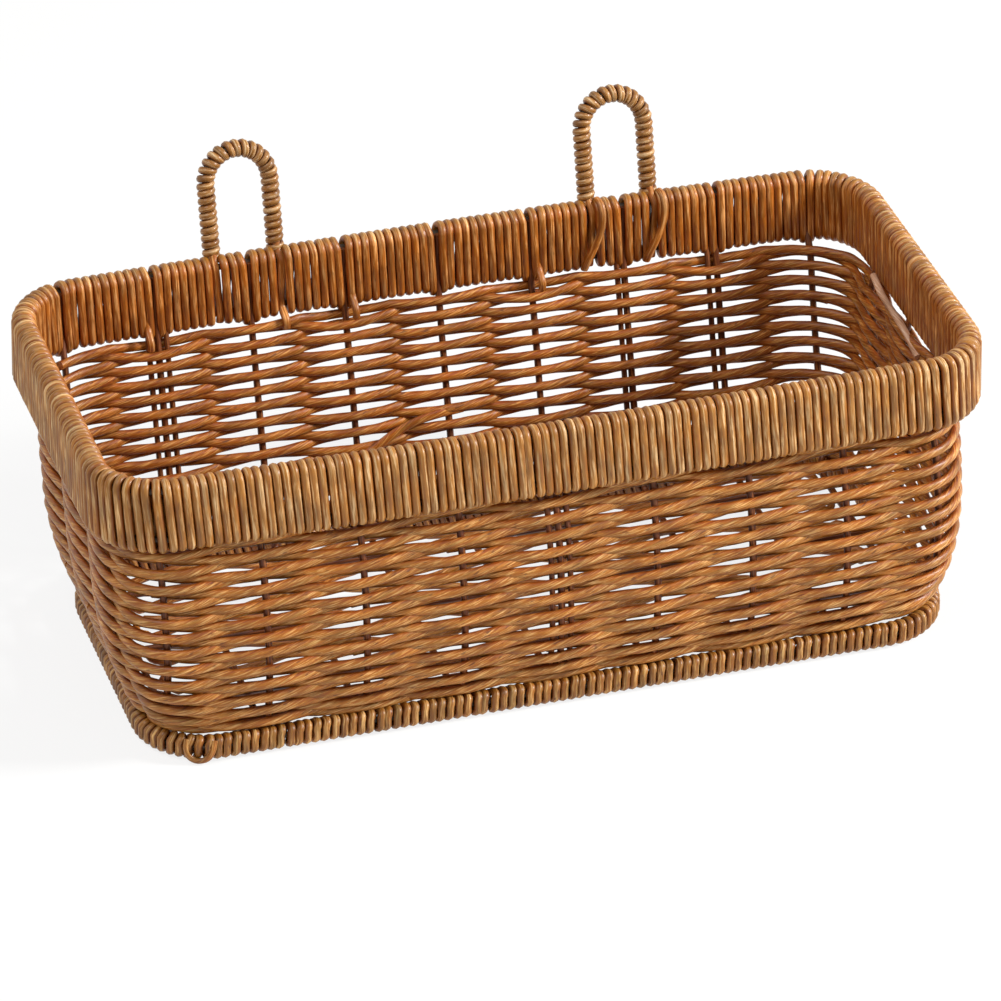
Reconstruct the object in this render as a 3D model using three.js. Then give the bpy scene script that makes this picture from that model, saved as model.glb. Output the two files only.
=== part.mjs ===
// A hanging wicker basket, standing on its foot: the long side runs along X, the two hanging loops rise
// from the back rim at +Y, and Z points up. Its wall is a plain weave, with an even number of stakes
// and so with two strands that chase each other round: each passes outside one stake and inside the
// next, and the other one lies above it with the sides changed over. Millimetres.
import * as THREE from "three";

// Driving dimensions of the body.
const rimHalfLength = 145; // middle of the rim band, along X
const rimHalfWidth = 65; // and along Y
const rimCorner = 20;
const rimTop = 102.7; // height of the rim's crest
const bandHeight = 25.9;
const bandDepth = 8.5;
const longSideBow = 2.6; // the long sides belly out this far at mid-length
const footHalfLength = 133.5;
const footFront = -70.2; // middle of the foot border at the front
const footBack = 44;
const footCorner = 22;
const footHeight = 8.8;
const footDepth = 6;
const footFlat = 0.5; // the underside of the foot's wrapping is level, and cut this deep
const wireWidth = 2.2; // of the wires inside the rim band and the foot
const rimGroove = 0.8; // depth of the grooves between the turns of the wrapping
const rimTurnPitch = 15.5;
const footGroove = 0.45;
const footTurnPitch = 19;

// The stakes are stiff rods. Nine pass under the floor from front to back, three from end to end.
const stakeWidth = 1.8;
const stakeSpacing = 32.2;
const sideStakeStep = 33.5; // spacing of the stakes on the short sides
const longSideStakes = 9;
const shortSideStakes = 3;
const stakeBends = [12.8, 18.2, 23.5, 34.2, 50.2, 71.7]; // heights at which the stakes bend
const extraBarSpacing = 2.7; // an extra bar stands this far beside its stake
const extraBarWidth = 1.6;
const crossRodHeight = 4.6;
const gap = 0.3; // between neighbours that touch
const strandGap = 0.68; // between a strand and the stake that it passes

// Both strands run level round the front, the right end and the back. On the left end they climb by
// two rows, and so each round ends where the next one begins.
const rounds = 12;
const rowPitch = 2.672; // from one strand's row up to the other strand's row above it
const weaveBase = 12.05; // height of the lowest row
const backRise = 1.2; // at mid-height the rows lie this much higher at the back than at the front
const climbStart = 16; // stakes round from the middle of the front at which the climb starts
const climbEnd = 20;
const roundEnd = 0.012; // the part of a stake's spacing that a round's ends fall short by
const strandTall = 2.2;
const strandDeep = 2.2;

// The floor's strand runs to and fro, over and under the crossing rods.
const floorRuns = 12;
const floorPitch = 8.4;
const floorHalfLength = 117;
const floorStrand = 2.4;
const floorRods = 7;

// The hanging loops lean back with the wall behind them.
const hookCentres = [-65.2, 63.6];
const hookHalfGap = 10.8; // from the loop's middle to each leg's middle
const hookRise = 33; // to the middle of the wire at the top
const hookLean = 0.237; // run back for each unit of rise
const hookCoreWidth = 2.4;
const hookStrand = 1.7;
const hookTurns = 17;
const hookSlit = 3.4; // the rim's wrapping leaves this much room for each leg
const hookSetback = 2.6; // a leg goes down behind the wires of the rim
const hookLegDepth = 24; // from the rim's crest down to the end of a leg

const colours = {
  outer: "#b57f45",
  inner: "#8f4f22",
  weave: "#a5642c",
  pale: "#c08f57",
  stake: "#5b3a20",
  wire: "#77726a",
};

const basket = new THREE.Group();
const v3 = (x, y, z) => new THREE.Vector3(x, y, z);
const lerp = THREE.MathUtils.lerp;
const above = (x) => Math.max(0, x);

function addPiece(name, geometry, colour, roughness = 0.55, metalness = 0) {
  const material = new THREE.MeshStandardMaterial({ color: colour, roughness, metalness });
  const mesh = new THREE.Mesh(geometry, material);
  mesh.name = name;
  basket.add(mesh);
  return mesh;
}

// Joins a row of rings, each a list of as many points, into one closed skin. Rings run anticlockwise
// as seen from the far end of the path. An open row is closed by a cap at each end.
function loft(rings, closed) {
  const sides = rings[0].length;
  const count = rings.length;
  const positions = rings.flat().flatMap((p) => [p.x, p.y, p.z]);
  const index = [];
  for (let i = 0; i < (closed ? count : count - 1); i++) {
    for (let j = 0; j < sides; j++) {
      const a = i * sides + j;
      const b = i * sides + ((j + 1) % sides);
      const c = ((i + 1) % count) * sides + ((j + 1) % sides);
      const d = ((i + 1) % count) * sides + j;
      index.push(a, b, c, a, c, d);
    }
  }
  if (!closed) {
    for (let j = 1; j < sides - 1; j++) {
      index.push(0, j + 1, j);
      const last = (count - 1) * sides;
      index.push(last, last + j, last + j + 1);
    }
  }
  const geometry = new THREE.BufferGeometry();
  geometry.setAttribute("position", new THREE.Float32BufferAttribute(positions, 3));
  geometry.setIndex(index);
  geometry.computeVertexNormals();
  return geometry;
}

// The direction of a path at one of its points, halfway between the two stretches that meet there.
function directionAt(points, i, closed) {
  const n = points.length;
  const before = closed ? points[(i + n - 1) % n] : points[Math.max(i - 1, 0)];
  const after = closed ? points[(i + 1) % n] : points[Math.min(i + 1, n - 1)];
  return after.clone().sub(before).normalize();
}

// A tube along a list of points. wide is its size along the side vector, tall its size across both.
function tube(points, sides, wide, tall, sideOf, closed = false) {
  const rings = points.map((p, i) => {
    const along = directionAt(points, i, closed);
    const side = sideOf(p, i).clone();
    side.addScaledVector(along, -side.dot(along)).normalize();
    const up = along.clone().cross(side);
    return Array.from({ length: sides }, (_, j) => {
      const turn = (2 * Math.PI * j) / sides;
      const q = p.clone().addScaledVector(side, (Math.cos(turn) * wide) / 2);
      return q.addScaledVector(up, (Math.sin(turn) * tall) / 2);
    });
  });
  return loft(rings, closed);
}

// A rounded rectangle seen from above, walked anticlockwise from the middle of its front side.
class Outline {
  constructor(halfLength, front, back, corner, bow) {
    Object.assign(this, { halfLength, front, back, corner, bow });
    this.straight = halfLength - corner;
    this.arc = (Math.PI / 2) * corner;
    this.side = back - front - 2 * corner;
    this.total = 4 * this.straight + 4 * this.arc + 2 * this.side;
  }

  // The point at a distance along the outline, with its outward direction.
  at(distance) {
    const round = ((distance % this.total) + this.total) % this.total;
    const mirrored = round > this.total / 2;
    const s = mirrored ? this.total - round : round;
    const { straight, arc, side, corner, front, back, halfLength } = this;
    let point;
    let out;
    if (s < straight) {
      point = v3(s, front, 0);
      out = v3(0, -1, 0);
    } else if (s < straight + arc) {
      const turn = (s - straight) / corner;
      out = v3(Math.sin(turn), -Math.cos(turn), 0);
      point = v3(straight + corner * out.x, front + corner + corner * out.y, 0);
    } else if (s < straight + arc + side) {
      point = v3(halfLength, front + corner + s - straight - arc, 0);
      out = v3(1, 0, 0);
    } else if (s < straight + 2 * arc + side) {
      const turn = (s - straight - arc - side) / corner;
      out = v3(Math.cos(turn), Math.sin(turn), 0);
      point = v3(straight + corner * out.x, back - corner + corner * out.y, 0);
    } else {
      point = v3(this.total / 2 - s, back, 0);
      out = v3(0, 1, 0);
    }
    const belly = this.bow * (1 - (point.x / halfLength) ** 2);
    point.y += Math.sign(point.y) * belly;
    if (mirrored) {
      point.x = -point.x;
      out.x = -out.x;
    }
    return { point, out };
  }

  // The distance along the right half of the outline at which a long side stands at a given x.
  distanceAtX(x, onBack) {
    const past = Math.min(above(Math.abs(x) - this.straight) / this.corner, 1);
    const s = Math.min(Math.abs(x), this.straight) + Math.asin(past) * this.corner;
    const fromFront = x < 0 ? -s : s;
    return onBack ? this.total / 2 - fromFront : fromFront;
  }
}

const rimLine = new Outline(rimHalfLength, -rimHalfWidth, rimHalfWidth, rimCorner, longSideBow);
const footLine = new Outline(footHalfLength, footFront, footBack, footCorner, 0);

// The wall's outline at a height. Its front leans out as it goes down and turns in again near the
// foot; its back slopes forward all the way down; its ends turn in over the lowest part.
function wallLine(z) {
  const halfLength = 141 - 14 * (above(48 - z) / 48) ** 2;
  const frontUpper = 9.5 * (above(z - 30) / 47) ** 2;
  const frontLower = 4 * (above(30 - z) / 21) ** 2;
  const front = -(71.5 - frontUpper - frontLower);
  const back = 62 - 0.237 * (77 - z) - 4.5 * (above(30 - z) / 21) ** 2;
  return new Outline(halfLength, front, back, 22, (longSideBow * z) / 77);
}

// How far round the wall each stake stands at a height, anticlockwise from the middle of the front.
const longHalf = (longSideStakes - 1) / 2;
const shortHalf = (shortSideStakes - 1) / 2;
function stakeDistances(line) {
  const front = [];
  const back = [];
  for (let i = -longHalf; i <= longHalf; i++) {
    front.push(line.distanceAtX(i * stakeSpacing, false));
    back.push(line.distanceAtX(-i * stakeSpacing, true));
  }
  const middle = line.total / 4;
  const right = [];
  const left = [];
  for (let i = -shortHalf; i <= shortHalf; i++) {
    right.push(middle + i * sideStakeStep);
    left.push(line.total - middle + i * sideStakeStep);
  }
  const ahead = front.slice(longHalf);
  const behind = front.slice(0, longHalf).map((s) => s + line.total);
  return [...ahead, ...right, ...back, ...left, ...behind];
}

const stakeCount = 2 * (longSideStakes + shortSideStakes);

// The wall's point at a height, at any number of stakes round it.
function wallAt(z, stakes) {
  const line = wallLine(z);
  const places = stakeDistances(line);
  const i = Math.floor(stakes);
  const from = places[i % stakeCount];
  const to = i + 1 < stakeCount ? places[i + 1] : places[0] + line.total;
  const { point, out } = line.at(lerp(from, to, stakes - i));
  point.z = z;
  return { point, out };
}

// One round of a strand, which begins and ends inside a stake. The lower strand, order 0, passes
// inside the even stakes, and the upper one, order 1, inside the odd ones.
const strandSwing = (stakeWidth + strandDeep) / 2 + strandGap;
function weaveRound(round, order) {
  const first = climbEnd - stakeCount + order;
  const last = round < rounds - 1 ? first + stakeCount : climbStart - order;
  const points = [];
  const sides = [];
  const steps = 2 * (last - first);
  for (let i = 0; i <= steps; i++) {
    const stakes = lerp(first + roundEnd, last - roundEnd, i / steps);
    const climbed = Math.min(above(stakes - climbStart) / (climbEnd - climbStart), 1);
    const row = 2 * (round + climbed) + order;
    const toBack = (1 - Math.cos((2 * Math.PI * stakes) / stakeCount)) / 2;
    const lift = backRise * toBack * Math.sin((Math.PI * row) / (2 * rounds));
    const { point, out } = wallAt(weaveBase + rowPitch * row + lift, (stakes + stakeCount) % stakeCount);
    point.addScaledVector(out, -strandSwing * Math.cos(Math.PI * (stakes + order)));
    points.push(point);
    sides.push(out);
  }
  return tube(points, 4, strandDeep, strandTall, (p, i) => sides[i]);
}

for (let round = 0; round < rounds; round++) {
  const number = String(round + 1).padStart(2, "0");
  addPiece(`row_${number}_strand_a`, weaveRound(round, 0), colours.weave);
  addPiece(`row_${number}_strand_b`, weaveRound(round, 1), colours.weave);
}

// A stake's way up the wall: over the foot from its inside, then up to the underside of the rim band.
const stakeTop = rimTop - bandHeight - 2 * gap;
const footInset = (footDepth + stakeWidth) / 2 + 1.5 * gap;
const floorInset = 0.5; // a stake comes this much further in as it drops from the foot to the floor
function stakeRise(stake) {
  const points = [...stakeBends, stakeTop].map((z) => wallAt(z, stake).point);
  const { out } = wallAt(stakeBends[0], stake);
  const knee = points[0].clone().setZ(footHeight + gap + stakeWidth / 2);
  const inside = knee.clone().addScaledVector(out, -footInset);
  return { points: [inside, knee, ...points], out };
}

// One rod up one wall, under the floor and up the other wall.
function crossStake(from, to, floorZ) {
  const first = stakeRise(from);
  const second = stakeRise(to);
  const inward = (rise) => rise.points[0].clone().addScaledVector(rise.out, -floorInset).setZ(floorZ);
  const up = [...first.points].reverse();
  const points = [...up, inward(first), inward(second), ...second.points];
  const across = points[0].clone().sub(points[points.length - 1]).setZ(0).normalize();
  const side = v3(-across.y, across.x, 0);
  return tube(points, 4, stakeWidth, stakeWidth, () => side);
}

for (let i = 0; i < longSideStakes; i++) {
  const column = i - longHalf;
  const front = (column + stakeCount) % stakeCount;
  const back = stakeCount / 2 - column;
  addPiece(`stake_cross_${i + 1}`, crossStake(front, back, crossRodHeight), colours.stake);
}
for (let i = 0; i < shortSideStakes; i++) {
  const right = longHalf + 1 + i;
  const left = stakeCount - right;
  const z = crossRodHeight + stakeWidth + 2 * gap;
  addPiece(`stake_long_${i + 1}`, crossStake(right, left, z), colours.stake);
}

// A few stakes have extra bars beside them, held only by the weave.
function extraBar(stake, beside) {
  const points = [...stakeBends, stakeTop].map((z) => {
    const { point, out } = wallAt(z, stake);
    const along = v3(-out.y, out.x, 0);
    return point.addScaledVector(along, beside);
  });
  return tube(points, 4, extraBarWidth, extraBarWidth, () => v3(1, 0, 0));
}
const extraBars = [
  ["extra_bar_front_a", 0, -extraBarSpacing],
  ["extra_bar_front_b", 0, extraBarSpacing],
  ["extra_bar_back_a", 15, -extraBarSpacing],
  ["extra_bar_back_b", 15, extraBarSpacing],
  ["extra_bar_back_c", 10, extraBarSpacing],
  ["extra_bar_back_d", 9, extraBarSpacing],
];
for (const [name, stake, beside] of extraBars) {
  addPiece(name, extraBar(stake, beside), colours.stake);
}

// The floor: one strand that goes under and over the crossing rods, with round turns at the ends.
function floorPath() {
  const middle = (footFront + footBack) / 2;
  const swing = (stakeWidth + floorStrand) / 2 + gap;
  const points = [];
  for (let run = 0; run < floorRuns; run++) {
    const y = middle + (run - (floorRuns - 1) / 2) * floorPitch;
    const onward = run % 2 ? -1 : 1;
    points.push(v3(-onward * floorHalfLength, y, crossRodHeight));
    for (let i = 0; i < floorRods; i++) {
      const x = onward * (i - (floorRods - 1) / 2) * stakeSpacing;
      const over = i % 2 ? -1 : 1;
      points.push(v3(x, y, crossRodHeight + over * swing));
    }
    points.push(v3(onward * floorHalfLength, y, crossRodHeight));
    if (run < floorRuns - 1) {
      const x = onward * (floorHalfLength + floorPitch / 2);
      points.push(v3(x, y + floorPitch / 2, crossRodHeight));
    }
  }
  return points;
}
addPiece(
  "floor_weave",
  tube(floorPath(), 4, floorStrand, floorStrand, () => v3(0, 0, 1)),
  colours.inner,
);

// Where the wires of the rim and the foot bend, as distances along their outline.
function bends(line) {
  const stops = [];
  const addStretch = (from, length, parts) => {
    for (let i = 0; i < parts; i++) stops.push(from + (length * i) / parts);
  };
  const half = line.total / 2;
  const { straight, arc, side } = line;
  for (const from of [0, half]) {
    addStretch(from, straight, 3);
    addStretch(from + straight, arc, 4);
    addStretch(from + straight + arc, side, 1);
    addStretch(from + straight + arc + side, arc, 4);
    addStretch(from + straight + 2 * arc + side, straight, 3);
  }
  return stops;
}

function ringWire(line, z) {
  const points = bends(line).map((s) => line.at(s).point.setZ(z));
  return tube(points, 4, wireWidth, wireWidth, () => v3(0, 0, 1), true);
}

// The eight corners of a band's section, an upright octagon with long sides, as steps out and up.
function bandSection(depth, height) {
  const half = depth / 2;
  return Array.from({ length: 8 }, (_, j) => {
    const turn = ((j + 0.5) * Math.PI) / 4;
    const out = (half * Math.cos(turn)) / Math.cos(Math.PI / 8);
    const up = (-half * Math.sin(turn)) / Math.cos(Math.PI / 8);
    return { out, up: up + Math.sign(up) * (height / 2 - half) };
  });
}

// A wrapped band along part of an outline, with room for wires inside. The wrapping's ridge goes round
// the section as one helix: each ring of points is drawn out over a whole turn, and its last point is
// joined to the first one of the turn that follows.
function wrappedBand(line, start, end, middle, size, bore, turnPitch) {
  const turns = Math.max(1, Math.round((end - start) / turnPitch));
  const pitch = (end - start) / (turns + 7 / 8);
  const rings = 2 * turns;
  const crest = bandSection(size.depth, size.height);
  const groove = bandSection(size.depth - 2 * size.groove, size.height - 2 * size.groove);
  const positions = [];
  const index = [];
  const addPoint = (s, out, up) => {
    const place = line.at(s);
    const point = place.point.addScaledVector(place.out, out);
    positions.push(point.x, point.y, Math.max(middle + up, 0));
    return positions.length / 3 - 1;
  };
  const addQuad = (a, b, c, d) => index.push(a, b, c, a, c, d);
  const addRing = (section, s) => section.map(({ out, up }) => addPoint(s, out, up));

  const first = addRing(groove, start);
  const skin = [];
  for (let k = 0; k < rings; k++) {
    const from = start + pitch * (0.25 + k / 2);
    const corners = k % 2 ? groove : crest;
    skin.push(corners.map(({ out, up }, j) => addPoint(from + (pitch * j) / 8, out, up)));
  }
  const last = addRing(groove, end);
  const skinAt = (k, j) => (j < 8 ? skin[k][j] : skin[k + 2][0]);
  for (let k = 0; k < rings - 1; k++) {
    const corners = k + 3 < rings ? 8 : 7;
    for (let j = 0; j < corners; j++) {
      addQuad(skinAt(k, j), skinAt(k, j + 1), skinAt(k + 1, j + 1), skinAt(k + 1, j));
    }
  }
  for (let j = 0; j < 7; j++) {
    addQuad(first[j], first[j + 1], skin[0][j + 1], skin[0][j]);
    addQuad(skin[rings - 1][j], skin[rings - 1][j + 1], last[j + 1], last[j]);
  }
  const fan = (hub, edge) => {
    for (let i = 0; i < edge.length - 1; i++) index.push(hub, edge[i], edge[i + 1]);
  };
  if (rings > 2) {
    fan(first[0], [skin[0][0], skin[1][0], skin[2][0], skin[0][7], first[7]]);
    const [third, second, end] = skin.slice(-3);
    fan(last[7], [end[7], second[7], third[7], end[0], last[0]]);
  } else {
    fan(first[0], [skin[0][0], skin[1][0], last[0], last[7], skin[1][7], skin[0][7], first[7]]);
  }

  const corners = [[1, -1], [-1, -1], [-1, 1], [1, 1]];
  const round = bends(line);
  const twice = [...round, ...round.map((s) => s + line.total)];
  const inside = twice.filter((s) => s > start + 1 && s < end - 1);
  const tunnel = [start, ...inside, end].map((s) =>
    corners.map(([out, up]) => addPoint(s, (out * bore.depth) / 2, (up * bore.height) / 2)),
  );
  for (let i = 0; i < tunnel.length - 1; i++) {
    for (let j = 0; j < 4; j++) {
      const next = (j + 1) % 4;
      addQuad(tunnel[i][j], tunnel[i + 1][j], tunnel[i + 1][next], tunnel[i][next]);
    }
  }
  const closeEnd = (outer, inner, quad, triangle) => {
    for (let j = 0; j < 4; j++) {
      triangle(inner[j], outer[2 * j], outer[2 * j + 1]);
      quad(inner[j], outer[2 * j + 1], outer[(2 * j + 2) % 8], inner[(j + 1) % 4]);
    }
  };
  const push = (a, b, c) => index.push(a, b, c);
  closeEnd(last, tunnel[tunnel.length - 1], addQuad, push);
  closeEnd(first, tunnel[0], (a, b, c, d) => addQuad(d, c, b, a), (a, b, c) => push(c, b, a));

  const geometry = new THREE.BufferGeometry();
  geometry.setAttribute("position", new THREE.Float32BufferAttribute(positions, 3));
  geometry.setIndex(index);
  geometry.computeVertexNormals();
  return geometry;
}

// The rim: two wires, and the wrapping round them in lengths that leave room for the hooks' legs.
const rimMiddle = rimTop - bandHeight / 2;
const rimSize = { depth: bandDepth, height: bandHeight, groove: rimGroove };
const rimBore = { depth: wireWidth + 2 * gap, height: bandHeight - bandDepth + wireWidth + 2 * gap };
const wireOffset = rimBore.height / 2 - gap - wireWidth / 2;
addPiece("rim_wire_top", ringWire(rimLine, rimMiddle + wireOffset), colours.wire);
addPiece("rim_wire_lower", ringWire(rimLine, rimMiddle - wireOffset), colours.wire);

const legs = hookCentres.flatMap((x) => [x - hookHalfGap, x + hookHalfGap]);
const legStops = legs.map((x) => rimLine.distanceAtX(x, true)).reverse();
const cornerStops = [rimLine.straight, rimLine.total - rimLine.straight];
const rimStops = [
  { at: cornerStops[0], room: 2 * gap },
  { at: rimLine.total / 2 - rimLine.straight, room: 2 * gap },
  ...legStops.map((at) => ({ at, room: hookSlit })),
  { at: rimLine.total / 2 + rimLine.straight, room: 2 * gap },
  { at: cornerStops[1], room: 2 * gap },
  { at: cornerStops[0] + rimLine.total, room: 2 * gap },
];
const rimLengths = [
  "right",
  "back_right",
  "between_right_legs",
  "back_middle",
  "between_left_legs",
  "back_left",
  "left",
  "front",
];
rimLengths.forEach((name, i) => {
  const start = rimStops[i].at + rimStops[i].room / 2;
  const end = rimStops[i + 1].at - rimStops[i + 1].room / 2;
  const band = wrappedBand(rimLine, start, end, rimMiddle, rimSize, rimBore, rimTurnPitch);
  addPiece(`rim_wrap_${name}`, band, colours.outer);
});

// The foot: a wire in a wrapping whose two ends meet at the back.
const footSize = { depth: footDepth, height: footHeight + footFlat, groove: footGroove };
const footMiddle = footHeight - footSize.height / 2;
const footBore = { depth: wireWidth + 2 * gap, height: wireWidth + 2 * gap };
addPiece("foot_wire", ringWire(footLine, footMiddle), colours.wire);
const footSeam = footLine.distanceAtX(-stakeSpacing / 2, true);
addPiece(
  "foot_wrap",
  wrappedBand(
    footLine,
    footSeam + gap,
    footSeam + footLine.total - gap,
    footMiddle,
    footSize,
    footBore,
    footTurnPitch,
  ),
  colours.outer,
);

// A hanging loop: a bent wire with its legs in the rim band, wound with a strand above the band.
const archRise = hookRise - hookHalfGap;
class HookLine extends THREE.Curve {
  constructor(centre, fromRise) {
    super();
    const back = rimLine.at(rimLine.distanceAtX(centre, true)).point.y + hookSetback;
    Object.assign(this, { centre, fromRise, back });
    this.leg = archRise - fromRise;
    this.length = 2 * this.leg + Math.PI * hookHalfGap;
  }

  // The point at a fraction of the way from the left leg's end, over the top, to the right leg's end.
  getPoint(fraction) {
    const s = fraction * this.length;
    const over = s - this.leg;
    let x = -hookHalfGap;
    let rise = this.fromRise + s;
    if (over > Math.PI * hookHalfGap) {
      x = hookHalfGap;
      rise = this.fromRise + this.length - s;
    } else if (over > 0) {
      x = -hookHalfGap * Math.cos(over / hookHalfGap);
      rise = archRise + hookHalfGap * Math.sin(over / hookHalfGap);
    }
    return v3(this.centre + x, this.back + hookLean * above(rise), rimTop + rise);
  }
}

// The strand winds round the wire at an even pitch. Both its ends run straight down on to the rim.
const windingRadius = (hookCoreWidth + hookStrand) / 2 + gap;
const windingStart = 2 * hookStrand;
const windingEnd = 1.2 * hookStrand; // its ends run this far straight down
const windingSteps = 8;
function windingPath(centre) {
  const line = new HookLine(centre, windingStart);
  const across = v3(0, 1, -hookLean).normalize();
  const count = hookTurns * windingSteps;
  const points = [];
  for (let i = 0; i <= count; i++) {
    const fraction = i / count;
    const along = line.getTangent(fraction);
    const outward = along.clone().cross(across).negate();
    const turn = (2 * Math.PI * i) / windingSteps;
    const p = line.getPoint(fraction).addScaledVector(outward, windingRadius * Math.cos(turn));
    points.push(p.addScaledVector(across, windingRadius * Math.sin(turn)));
  }
  const lowered = (p) => p.clone().setZ(p.z - windingEnd);
  return [lowered(points[0]), ...points, lowered(points[count])];
}

const archSteps = 12;

// The least room between stretches of a winding that are more than half a turn apart.
function leastGap(points, width, steps) {
  let least = Infinity;
  points.forEach((p, i) => {
    for (const q of points.slice(i + steps / 2 + 1)) least = Math.min(least, p.distanceTo(q) - width);
  });
  return least;
}

["left", "right"].forEach((name, i) => {
  const core = new HookLine(hookCentres[i], -hookLegDepth);
  const archStep = (Math.PI * hookHalfGap) / archSteps;
  const arch = Array.from({ length: archSteps + 1 }, (_, k) => core.leg + archStep * k);
  const distances = [0, hookLegDepth, ...arch, core.length - hookLegDepth, core.length];
  const stops = distances.map((s) => core.getPoint(s / core.length));
  const level = v3(0, 1, 0);
  addPiece(`hook_${name}_core`, tube(stops, 6, hookCoreWidth, hookCoreWidth, () => level), colours.wire);
  const winding = windingPath(hookCentres[i]);
  const room = leastGap(winding, hookStrand, windingSteps);
  console.log(`hook_${name}_winding: least gap to itself ${room.toFixed(2)} mm`);
  const strand = tube(winding, 5, hookStrand, hookStrand, () => level);
  addPiece(`hook_${name}_winding`, strand, colours.pale);
});

// The origin is on the surface that the basket stands on, under the middle of the space it takes up.
const space = new THREE.Box3().setFromObject(basket);
const centre = space.getCenter(v3(0, 0, 0));
basket.position.set(-centre.x, -centre.y, -space.min.z);

export default basket;
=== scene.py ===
# A hanging wicker basket: plain weave on stiff stakes, a wrapped rim and foot, two wound loops.
import math
import random
from functools import partial

import bpy
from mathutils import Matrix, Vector


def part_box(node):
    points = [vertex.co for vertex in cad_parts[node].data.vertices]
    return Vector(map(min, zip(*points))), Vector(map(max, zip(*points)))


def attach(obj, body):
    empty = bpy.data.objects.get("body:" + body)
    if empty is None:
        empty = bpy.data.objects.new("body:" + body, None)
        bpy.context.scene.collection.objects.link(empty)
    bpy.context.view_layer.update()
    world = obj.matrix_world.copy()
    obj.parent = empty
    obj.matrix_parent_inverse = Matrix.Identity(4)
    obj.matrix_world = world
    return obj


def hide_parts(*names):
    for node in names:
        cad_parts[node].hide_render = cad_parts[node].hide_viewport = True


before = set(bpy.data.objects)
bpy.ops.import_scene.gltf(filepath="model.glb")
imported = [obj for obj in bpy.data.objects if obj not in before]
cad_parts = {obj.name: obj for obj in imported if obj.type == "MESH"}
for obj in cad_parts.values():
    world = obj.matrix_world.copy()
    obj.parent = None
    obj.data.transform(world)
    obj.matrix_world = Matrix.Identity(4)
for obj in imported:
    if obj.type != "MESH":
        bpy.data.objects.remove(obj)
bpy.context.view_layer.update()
mm = 0.001
rimLow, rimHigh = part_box("rim_wire_top")
rimMiddleY = (rimLow.y + rimHigh.y) / 2  # paths are written in mm about the middle of the rim
print("frame loaded,", len(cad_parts), "nodes")


# Small helpers
def addNode(tree, kind, links=None, **settings):
    # adds a node, sets it up, feeds its inputs from sockets or plain values, and gives its outputs;
    # each tree has its own short form of this, add
    node = tree.nodes.new(kind)
    for key, value in settings.items():
        setattr(node, key, value)
    for key, value in (links or {}).items():
        if isinstance(value, bpy.types.NodeSocket):
            tree.links.new(value, node.inputs[key])
        else:
            node.inputs[key].default_value = value
    return node.outputs


def linearColour(hexCode):
    # sRGB hex to the linear colour that a shader takes
    channels = [int(hexCode[i:i + 2], 16) / 255 for i in (1, 3, 5)]
    linear = [c / 12.92 if c <= 0.04045 else ((c + 0.055) / 1.055) ** 2.4 for c in channels]
    return (*linear, 1)


def pathObject(points, closed, fields):
    # a line of points in mm as an object, with a number for each point under each field's name
    mesh = bpy.data.meshes.new("path")
    count = len(points)
    edges = [(i, (i + 1) % count) for i in range(count if closed else count - 1)]
    places = [(p.x * mm, p.y * mm + rimMiddleY, p.z * mm) for p in points]
    mesh.from_pydata(places, edges, [])
    for name, values in fields.items():
        layer = mesh.attributes.new(name, "FLOAT", "POINT")
        layer.data.foreach_set("value", values)
    path = bpy.data.objects.new("path", mesh)
    bpy.context.collection.objects.link(path)
    return path


def grow(name, tree, inputs, points, closed=False, **fields):
    # runs a node tree on a line of points and keeps the result as a plain mesh
    path = pathObject(points, closed, fields)
    modifier = path.modifiers.new("grow", "NODES")
    modifier.node_group = tree
    for item in tree.interface.items_tree:
        if item.in_out == "INPUT" and item.name in inputs:
            modifier[item.identifier] = inputs[item.name]
    depsgraph = bpy.context.evaluated_depsgraph_get()
    mesh = bpy.data.meshes.new_from_object(path.evaluated_get(depsgraph), depsgraph=depsgraph)
    path.modifiers.remove(modifier)
    oldMesh = path.data
    bpy.data.objects.remove(path)
    bpy.data.meshes.remove(oldMesh)
    mesh.name = name
    piece = bpy.data.objects.new(name, mesh)
    bpy.context.collection.objects.link(piece)
    piece.data.shade_smooth()
    return piece


def roundSize(width):
    # the inputs that make a strand as thick as it is wide, in mm
    return {"Width": width * mm, "Thickness": width * mm}


def keep(piece, slotName, *nodes):
    # every piece rides on the one body; nodes are the solids that it stands for
    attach(piece, "root")
    if nodes:
        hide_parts(*nodes)


def smoothLine(points, step):
    # a smooth line through the points, with a new point about every step mm
    line = []
    last = len(points) - 1
    for i in range(last):
        before, start, end, after = points[max(i - 1, 0)], points[i], points[i + 1], points[min(i + 2, last)]
        length = (end - start).length
        leave = (end - before).normalized() * length
        arrive = (after - start).normalized() * length
        parts = max(1, round(length / step))
        for k in range(parts):
            t = k / parts
            line.append(
                start * (2 * t ** 3 - 3 * t ** 2 + 1) + leave * (t ** 3 - 2 * t ** 2 + t)
                + end * (3 * t ** 2 - 2 * t ** 3) + arrive * (t ** 3 - t ** 2)
            )
    line.append(points[last])
    return line


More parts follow.
